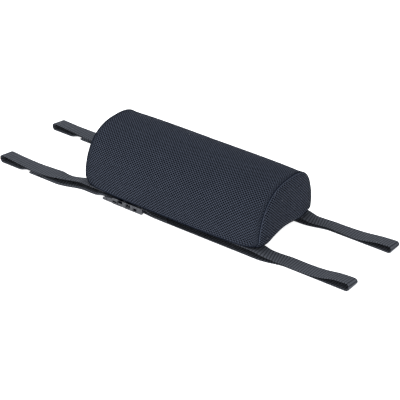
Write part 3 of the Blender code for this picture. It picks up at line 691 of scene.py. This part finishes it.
def makeCushion():
    points, cloth, faces = cushionShell()
    piece = makePiece("cushion_cover", points, faces, cloth, materials["mesh"])
    tidyMesh(piece, cushion["merge"])
    at = readPoints(piece.data)
    n, near = cushion["power"], cushion["near"]
    a, b = sectionSize(at[:, 0])
    radial = (np.abs(at[:, 1] / a) ** n + np.abs(at[:, 2] / b) ** n)
    onEnd = np.abs(at[:, 0]) > halfLength - near
    onBase = at[:, 2] < near
    onWrap = radial > cushion["onWrap"]
    seam = (onEnd & onWrap) | (onEnd & onBase) | (onBase & onWrap)
    # away from its seams the long panel starts a little slack
    toEnd = halfLength - np.abs(at[:, 0])
    away = easeIn(np.minimum(toEnd, at[:, 2]) / cushion["slackReach"])
    wrapOnly = onWrap & ~onEnd & ~onBase
    outward = unit(np.stack([np.zeros(len(at)), np.sign(at[:, 1]) * np.abs(at[:, 1] / a) ** (n - 1) / a,
                             (at[:, 2] / b) ** (n - 1) / b], -1))
    start = at - outward * (cushion["slack"] * away * wrapOnly)[:, None]
    start = settle(roundEnds(start, np.where(onEnd, 1, np.where(onBase, 2, 0))))
    writePoints(piece.data, start)
    held = np.where(seam | onBase, 1.0, 0.0)
    gaps = seamGaps(at, radial ** (1 / n), onEnd, onBase)
    piece.data.attributes.new("seamGap", "FLOAT", "POINT").data.foreach_set("value", gaps.astype(np.float32))
    start = swellOut(piece, held)
    # a channel along the base holds the zip
    channel = (np.abs(at[:, 1]) < cushion["zipHalf"] + near) & (toEnd > halfLength - cushion["zipReach"])
    start[:, 2] += (onBase & channel) * cushion["zipDepth"]
    start += (middleX, middleY, baseLevel)
    writePoints(piece.data, start)
    finer = piece.modifiers.new("finer", "SUBSURF")
    finer.levels = finer.render_levels = 1
    finer.boundary_smooth = "PRESERVE_CORNERS"
    shaped = piece.evaluated_get(bpy.context.evaluated_depsgraph_get())
    fine = bpy.data.meshes.new_from_object(shaped)
    piece.modifiers.clear()
    piece.data = fine
    piece.data.name = "cushion_cover"
    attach(piece, "cushion")
    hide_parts("foam_core", "cover_wrap_panel", "cover_end_left", "cover_end_right",
                "cover_base_front", "cover_base_rear", "cover_belt_strip_front", "cover_belt_strip_rear")


makeCushion()


# ---- seams ----

def beadRadius(path):
    # the bead is drawn in a little at each stitch
    run = np.r_[0, np.cumsum(np.linalg.norm(np.diff(path, axis=0), axis=1))]
    return seams["radius"] * (1 + seams["puckerDepth"] * np.cos(2 * np.pi * run / seams["pucker"]))


def addSeam(name, path, replaced, hint, closed=False):
    # the bead stands for the seam's welt, and its near-black colour is painted shade of the groove
    bead = addTube(name, path, beadRadius(path), materials["seamGrooveShade"], "cushion", 10, hint, closed=closed)
    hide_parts(replaced)


def makeSeams():
    arch, low, base = seams["archPoints"], seams["lowPoints"], seams["basePoints"]
    for name, side in (("left", -1), ("right", 1)):
        x = np.array([side * halfLength])
        y, z, _ = archAt(x, np.linspace(0, 1, arch))
        over = np.stack([np.full(arch, x[0]), y[0], z[0]], -1)
        under = np.stack([np.full(low, x[0]), np.linspace(y[0][-1], y[0][0], low), np.zeros(low)], -1)
        path = evenly(settle(roundEnds(np.vstack([over, under[1:]]), 0)), seams["step"])[:-1]
        path += (middleX, middleY, baseLevel + seams["offset"])
        addSeam("end_seam_bead_" + name, path, "end_seam_" + name, (1, 0, 0), closed=True)
    for name, side in (("front", -1), ("rear", 1)):
        x = np.linspace(-halfLength, halfLength, base)
        a, _ = sectionSize(x)
        path = settle(roundEnds(np.stack([x, side * a, np.zeros(base)], -1), 0))
        path = path + (0, side * seams["offset"], seams["baseRise"])
        path += (middleX, middleY, baseLevel)
        addSeam("base_seam_bead_" + name, path, "base_seam_" + name, (0, 0, 1))


makeSeams()
print("seams made")


# ---- zip ----

# clear is the room left inside the CAD coil's box, as a share of the wire
zipThread = {"pitch": 1.27 * mm, "thick": 0.26 * mm, "perTurn": 14, "clear": 1.1}


def makeCoils():
    for name in ("front", "rear"):
        low, high = (np.array(corner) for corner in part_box("zip_coil_" + name))
        middle, half = (low + high) / 2, (high - low) / 2 - zipThread["thick"] * zipThread["clear"]
        turns = int((high[0] - low[0]) / zipThread["pitch"])
        angle = np.linspace(0, 2 * np.pi * turns, turns * zipThread["perTurn"])
        # a helix: its place along x goes with the angle
        path = np.stack([middle[0] + half[0] * (angle / angle[-1] * 2 - 1),
                         middle[1] + half[1] * np.cos(angle), middle[2] + half[2] * np.sin(angle)], -1)
        coil = addTube("zip_coil_wire_" + name, path, zipThread["thick"], materials["coil"], "cushion", 6,
                       (1, 0, 0))
        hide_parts("zip_coil_" + name)


makeCoils()
print("zip coils made")


# ---- belts ----

beltWeb = {"width": 25 * mm, "thickness": 1.3 * mm, "gap": 0.3 * mm, "crown": 0.10, "selvedge": 0.06,
           "step": 1.8 * mm, "hemRoom": 1.1 * mm, "edgeAngle": 50, "floorGap": 0.05 * mm,
           "sewnStart": 0.4 * mm, "taperFrom": 0.45, "taperOver": 0.4, "blendPast": 20 * mm}
layer = beltWeb["thickness"] + beltWeb["gap"]
floorRun = beltWeb["thickness"] / 2
sewnInset = 11 * mm
sewnLevel = baseLevel - beltWeb["gap"] - beltWeb["thickness"] / 2
driftShare = 0.30
rollBlur = 4

# Upper runs are given as shares of the reach past the cushion and heights in mm of the web's middle. Roll is
# in degrees, positive where the belt's front edge is the higher one. Drift is an end's move sideways.
belts = {
    "front": {
        "tail": 132 * mm,
        "right": {"reach": 143 * mm, "height": 11.6 * mm, "drift": 8.5 * mm, "taper": 9, "top": 11.6 * mm,
                  "run": [(0.02, 9.6), (0.1, 6.4), (0.2, 3.5), (0.3, 2.7), (0.5, 2.7), (0.66, 4.6), (0.82, 9.4)],
                  "roll": [(0, 0), (0.08, 7), (0.2, 3), (0.3, 0), (1, 0)]},
        "left": {"reach": 151 * mm, "height": 11.4 * mm, "drift": -11.5 * mm, "taper": 9, "top": 11.4 * mm,
                 "run": [(0.02, 9.9), (0.1, 8.6), (0.18, 8.6), (0.29, 9.6), (0.42, 7.8), (0.6, 7), (0.8, 8.8)],
                 "roll": [(-0.06, 0), (0.05, 10), (0.16, 18), (0.24, 14), (0.31, 2), (0.4, 0), (1, 0)]},
    },
    "rear": {
        "tail": 139 * mm,
        "right": {"reach": 142 * mm, "height": 10.8 * mm, "drift": 9 * mm, "taper": 8, "top": 10.8 * mm,
                  "run": [(0.02, 9.4), (0.1, 5.9), (0.2, 3.8), (0.3, 3.2), (0.5, 2.9), (0.64, 4.1), (0.82, 8.4)],
                  "roll": [(0, 0), (0.1, 6), (0.3, 7), (0.5, 3), (0.6, 0), (1, 0)]},
        "left": {"reach": 157 * mm, "height": 10.6 * mm, "drift": -1.5 * mm, "taper": 9, "top": 10.6 * mm,
                 "run": [(0.02, 9.6), (0.12, 7.8), (0.30, 7.4), (0.62, 7.3)],
                 "roll": [(0, 0), (1, 0)]},
    },
}

# The buckle's own measures from the plane where its halves meet, +X into the socket
buckle = {"middleBar": (-29 * mm, -25 * mm), "outerBar": (-37 * mm, -33.5 * mm),
          "middleBottom": 2.8 * mm, "outerBottom": 1.2 * mm, "barThickness": 2.5 * mm, "corner": 1.0 * mm,
          "socketBar": (29.7 * mm, 34 * mm), "socketBarBottom": 3.0 * mm, "socketBarThickness": 3.4 * mm,
          "hem": 16 * mm, "flap": 22 * mm, "ramp": 20 * mm}


def upperRun(end, lowest):
    # from the sewn stretch over the loop to the bottom of its fold, as (distance from the middle, height)
    reach = end["reach"]
    bend = (end["height"] - beltWeb["thickness"]) / 2
    foldX = halfLength + reach - bend - beltWeb["thickness"] / 2
    points = [(halfLength - sewnInset + beltWeb["sewnStart"], sewnLevel)]
    points += [(halfLength + reach * share, max(level * mm, lowest)) for share, level in end["run"]]
    points += [(foldX, floorRun + 2 * bend)]
    return np.vstack([curveThrough(points), arcOf((foldX, floorRun + bend), bend, 90, -90, 30)[1:]])


def crossTangent(first, second, radius):
    # heading, in degrees, of the line that passes between two equal circles and touches both
    run = Vector(second) - Vector(first)
    return math.degrees(math.atan2(run.y, run.x) - math.asin(2 * radius / run.length)) % 360


def ladderRun(mouth, tail):
    # lower run, ladder bars, tail and folded hem, as (x, z) with x from the cushion's middle
    b, half = buckle, beltWeb["thickness"] / 2
    wrap = b["corner"] + beltWeb["gap"] + half
    right, left = b["middleBar"][1] - b["corner"], b["middleBar"][0] + b["corner"]
    upper = b["middleBottom"] + b["barThickness"] - b["corner"]
    lower = b["middleBottom"] + b["corner"]
    last = (b["outerBar"][1] - b["corner"], b["outerBottom"] + b["barThickness"] - b["corner"])
    heading = crossTangent((left, lower), last, wrap)
    overTail = b["outerBottom"] + b["barThickness"] + beltWeb["gap"] + half
    entry, run = b["outerBar"][0], floorRun + layer + beltWeb["gap"]
    tailEnd = entry - tail
    hemStart = tailEnd + b["hem"]
    clear = floorRun + 2 * layer + beltWeb["hemRoom"]
    over = overTail + layer
    ramp = b["ramp"]
    points = np.vstack([
        easedRise((tailEnd - ramp, floorRun), (tailEnd - 2 * half, clear)),
        easedRise((hemStart + 2 * half, clear), (hemStart + ramp, run)),
        easedRise((entry - ramp, run), (entry, over)),
        [(b["middleBar"][0], over)],
        arcOf((right, upper), over - upper, 90, 0, 10),
        arcOf((right + over - upper - wrap, lower), wrap, 0, -90, 10),
        arcOf((left, lower), wrap, 270, heading + 90, 12), arcOf(last, wrap, heading - 90, 90, 12),
        easedRise((entry, overTail), (entry - ramp, floorRun)),
        [(tailEnd + layer / 2, floorRun)],
        arcOf((tailEnd + layer / 2, floorRun + layer / 2), layer / 2, -90, -270, 10),
        [(hemStart, floorRun + layer)]])
    return points + (mouth, 0)


def socketRun(mouth):
    # lower run, round the socket's bar and back to the end of its sewn flap
    b, half = buckle, beltWeb["thickness"] / 2
    wrap = b["corner"] + beltWeb["gap"] + half
    left, right = b["socketBar"]
    below = b["socketBarBottom"] - beltWeb["gap"] - half
    above = b["socketBarBottom"] + b["socketBarThickness"] + beltWeb["gap"] + half
    points = np.vstack([
        easedRise((right + b["ramp"], floorRun), (right, below)),
        arcOf((left + b["corner"], below + wrap), wrap, -90, -180, 10),
        arcOf((left + b["corner"], above - wrap), wrap, 180, 90, 10),
        easedRise((right, above), (right + b["ramp"], floorRun + layer)),
        [(right + b["ramp"] + b["flap"], floorRun + layer)]])
    return points + (mouth, 0)


def bandProfile(width, thickness):
    # rounded flat band with slightly thicker woven edges
    u = np.linspace(-1, 1, 13)
    flat = u * (width / 2 - thickness / 2)
    half = thickness / 2 * (1 - beltWeb["crown"] * (1 - u ** 2) + beltWeb["selvedge"] * np.abs(u) ** 8)
    turn = np.radians([60, 30, 0, -30, -60])
    tip = np.stack([width / 2 - thickness / 2 + np.cos(turn) * thickness / 2,
                    np.sin(turn) * thickness / 2 * (1 + beltWeb["selvedge"])], -1)
    top = np.stack([flat, half], -1)
    return np.vstack([top, tip, (top * (1, -1))[::-1], (tip * (-1, -1))])


def bandPiece(name, path, belt, end, replaced, rolled=True):
    # path (x, z) carried over with the belt's drift and roll; sideways is square to the true direction
    path = evenly(path, beltWeb["step"])
    share = (np.abs(path[:, 0]) - halfLength) / end["reach"]
    drift = end["drift"] * easeIn(share / driftShare)
    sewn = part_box(belt + "_sewn_web")
    y = (sewn[0][1] + sewn[1][1]) / 2 + drift
    line = np.stack([path[:, 0] + middleX, y, path[:, 1]], -1)
    run = np.r_[0, np.cumsum(np.linalg.norm(np.diff(line, axis=0), axis=1))]
    tangent = unit(np.gradient(line, axis=0))
    sideways = unit(np.cross(np.stack([-tangent[:, 2], 0 * y, tangent[:, 0]], -1), tangent))
    upwards = np.cross(tangent, sideways)
    if rolled and "roll" in end:
        marks, degrees = np.array(end["roll"], float).T
        upper = run < end["reach"] + sewnInset
        turn = np.radians(np.interp(share, marks, degrees)) * upper
        # the roll is the mean over each point and its neighbours
        window = np.ones(2 * rollBlur + 1) / (2 * rollBlur + 1)
        turn = np.convolve(np.pad(turn, rollBlur, mode="edge"), window, "valid")
        front = -np.sign(sideways[0, 1] * upwards[0, 2])
        c, s = np.cos(turn)[:, None], (np.sin(turn) * front)[:, None]
        sideways, upwards = sideways * c + upwards * s, upwards * c - sideways * s
    profile = bandProfile(beltWeb["width"], beltWeb["thickness"])
    points, faces = sweep(line, sideways, upwards, profile)
    cloth = np.stack([np.tile(profile[:, 0], len(line)), np.repeat(run, len(profile))], -1)
    # towards a fold the front edge stands higher, in proportion to the height above the floor
    reached = np.clip((np.abs(points[:, 0] - middleX) - halfLength) / end["reach"], 0, 1)
    stand = np.tan(np.radians(end["taper"])) * easeIn((reached - beltWeb["taperFrom"]) / beltWeb["taperOver"])
    high = np.clip(points[:, 2] / end["top"], 0, 1)
    points[:, 2] += (np.repeat(y, len(profile)) - points[:, 1]) * stand * high
    points[:, 2] = np.maximum(points[:, 2], beltWeb["floorGap"])
    piece = makePiece(name, points, faces, cloth, materials["belt"], sharp=beltWeb["edgeAngle"])
    tidyMesh(piece)
    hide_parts(*replaced)
    return piece


def makeBelts():
    for belt, ends in belts.items():
        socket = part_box(belt + "_buckle_socket")
        mouth = socket[0][0] - beltWeb["gap"] - middleX
        flat = {"reach": 1.0, "drift": 0.0, "taper": 0.0, "top": 1.0}
        sewn = np.array([(-halfLength + sewnInset, sewnLevel), (halfLength - sewnInset, sewnLevel)])
        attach(bandPiece(belt + "_belt_sewn", sewn, belt, flat, [belt + "_sewn_web"]), "cushion")
        right = np.vstack([upperRun(ends["right"], floorRun + layer), socketRun(mouth)])
        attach(bandPiece(belt + "_belt_right", right, belt, ends["right"], [belt + "_loop_web"]), "cushion")
        clear = floorRun + 3 * layer + beltWeb["hemRoom"]
        left = upperRun(ends["left"], clear) * (-1, 1)
        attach(bandPiece(belt + "_belt_left", left, belt, ends["left"], [belt + "_adjuster_web"]), "cushion")
        lower = np.vstack([left[-1:], ladderRun(mouth, ends["tail"])])
        tail = bandPiece(belt + "_belt_tail", lower, belt, ends["left"], [belt + "_adjuster_web"],
                         rolled=False)
        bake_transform(tail)


makeBelts()
print("belts made")


# ---- stitching ----

thread = {"radius": 0.22 * mm, "stitch": 3.0 * mm, "pinch": 0.5, "zigzag": 0.9 * mm, "inset": 0.5 * mm,
          "rowStep": 0.5 * mm, "tackStep": 0.7 * mm}


def addThread(name, path, radius):
    made = addTube(name + "_thread", path, radius, materials["thread"], "cushion", 6, (0, 0, 1))
    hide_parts(name)


def stitchRow(name):
    # a row of stitches: the thread thins where it dives into the web
    low, high = (np.array(corner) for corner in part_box(name))
    x = np.arange(low[0] + thread["inset"], high[0] - thread["inset"], thread["rowStep"])
    path = np.stack([x, np.full(len(x), (low[1] + high[1]) / 2), np.full(len(x), (low[2] + high[2]) / 2)], -1)
    wave = np.abs(np.sin(np.pi * x / thread["stitch"]))
    addThread(name, path, thread["radius"] * (1 - thread["pinch"] * (1 - wave) ** 2))


def bartack(name):
    # a tight zigzag across the web, kept within the solid it stands for
    low, high = (np.array(corner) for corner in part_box(name))
    count = int((high[1] - low[1]) / thread["zigzag"])
    y = np.linspace(low[1] + thread["inset"], high[1] - thread["inset"], count * 2 + 1)
    x = np.where(np.arange(len(y)) % 2, low[0] + thread["inset"], high[0] - thread["inset"])
    path = evenly(np.stack([x, y, np.full(len(y), (low[2] + high[2]) / 2)], -1), thread["tackStep"])
    addThread(name, path, thread["radius"])


for belt in belts:
    stitchRow(belt + "_stitch_row_front")
    stitchRow(belt + "_stitch_row_rear")
    for sewing in ("_bartack_left", "_bartack_right", "_flap_stitch", "_hem_stitch"):
        bartack(belt + sewing)
print("stitching made")


# ---- finishes on the CAD nodes that stay ----

finishOf = {"mesh": ["end_seam", "base_seam", "cover"], "tape": ["zip_tape"], "coil": ["zip_coil"],
            "metal": ["zip_stop", "zip_slider", "zip_pull"], "plastic": ["buckle"], "foam": ["foam"],
            "thread": ["bartack", "stitch"], "belt": ["_web"]}
for name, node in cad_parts.items():
    kind = next(k for k, words in finishOf.items() if any(word in name for word in words))
    if not node.hide_render:
        node.data.materials.clear()
        node.data.materials.append(materials[kind])


# ---- floor, light and camera ----

studio = {"floor": (0.93, 0.93, 0.93), "floorHalf": 8, "floorDrop": 0.2 * mm, "glow": 0.85,
          "sky": (0.92, 0.96, 1.0), "skyPower": 0.75,
          "keyPower": 26.0, "keySize": 1.6, "keyFrom": (-0.5, -0.3, 1.7),
          "fillPower": 8.0, "fillSize": 1.5, "fillFrom": (0.6, -1.6, 0.9)}

floorMesh = bpy.data.meshes.new("floor")
span = studio["floorHalf"]
corners = [(x * span, y * span, 0) for x, y in ((-1, -1), (1, -1), (1, 1), (-1, 1))]
floorMesh.from_pydata(corners, [], [(0, 1, 2, 3)])
floor = bpy.data.objects.new("floor", floorMesh)
bpy.context.scene.collection.objects.link(floor)
floor.location.z = -studio["floorDrop"]
pale, _, paleShader, _ = newMaterial("paleFloor", 0.9)
paleShader.inputs["Base Color"].default_value = (*studio["floor"], 1.0)
paleShader.inputs["Emission Color"].default_value = (1, 1, 1, 1)
paleShader.inputs["Emission Strength"].default_value = studio["glow"]
floorMesh.materials.append(pale)


def areaLight(name, place, size, power, aim=(0, 0, 0.04)):
    light = bpy.data.lights.new(name, "AREA")
    light.shape, light.size, light.energy = "DISK", size, power
    lamp = bpy.data.objects.new(name, light)
    bpy.context.scene.collection.objects.link(lamp)
    lamp.location = place
    lamp.rotation_euler = (Vector(aim) - Vector(place)).to_track_quat("-Z", "Y").to_euler()


areaLight("key", studio["keyFrom"], studio["keySize"], studio["keyPower"])
areaLight("fill", studio["fillFrom"], studio["fillSize"], studio["fillPower"])
world = bpy.data.worlds.new("studio")
bpy.context.scene.world = world
world.use_nodes = True
world.node_tree.nodes["Background"].inputs[0].default_value = (*studio["sky"], 1.0)
world.node_tree.nodes["Background"].inputs[1].default_value = studio["skyPower"]
bpy.context.scene.view_settings.view_transform = "Standard"

lens = {"azimuth": 32.537, "elevation": 30.069, "roll": 3.476, "focal": 135.0, "from": (1.030, -1.591, 1.102)}


def makeCamera():
    # back points from the object to the camera; the picture is then turned by the roll
    az, el = math.radians(lens["azimuth"]), math.radians(lens["elevation"])
    back = Vector((math.sin(az) * math.cos(el), -math.cos(az) * math.cos(el), math.sin(el)))
    right = Vector((math.cos(az), math.sin(az), 0))
    turn = Matrix((right, back.cross(right), back)).transposed().to_4x4()
    camera = bpy.data.objects.new("camera", bpy.data.cameras.new("camera"))
    bpy.context.scene.collection.objects.link(camera)
    camera.data.lens, camera.data.sensor_width = lens["focal"], 36.0
    camera.matrix_world = (Matrix.Translation(lens["from"]) @ turn
                           @ Matrix.Rotation(math.radians(lens["roll"]), 4, "Z"))
    bpy.context.scene.camera = camera


makeCamera()
print("scene ready")
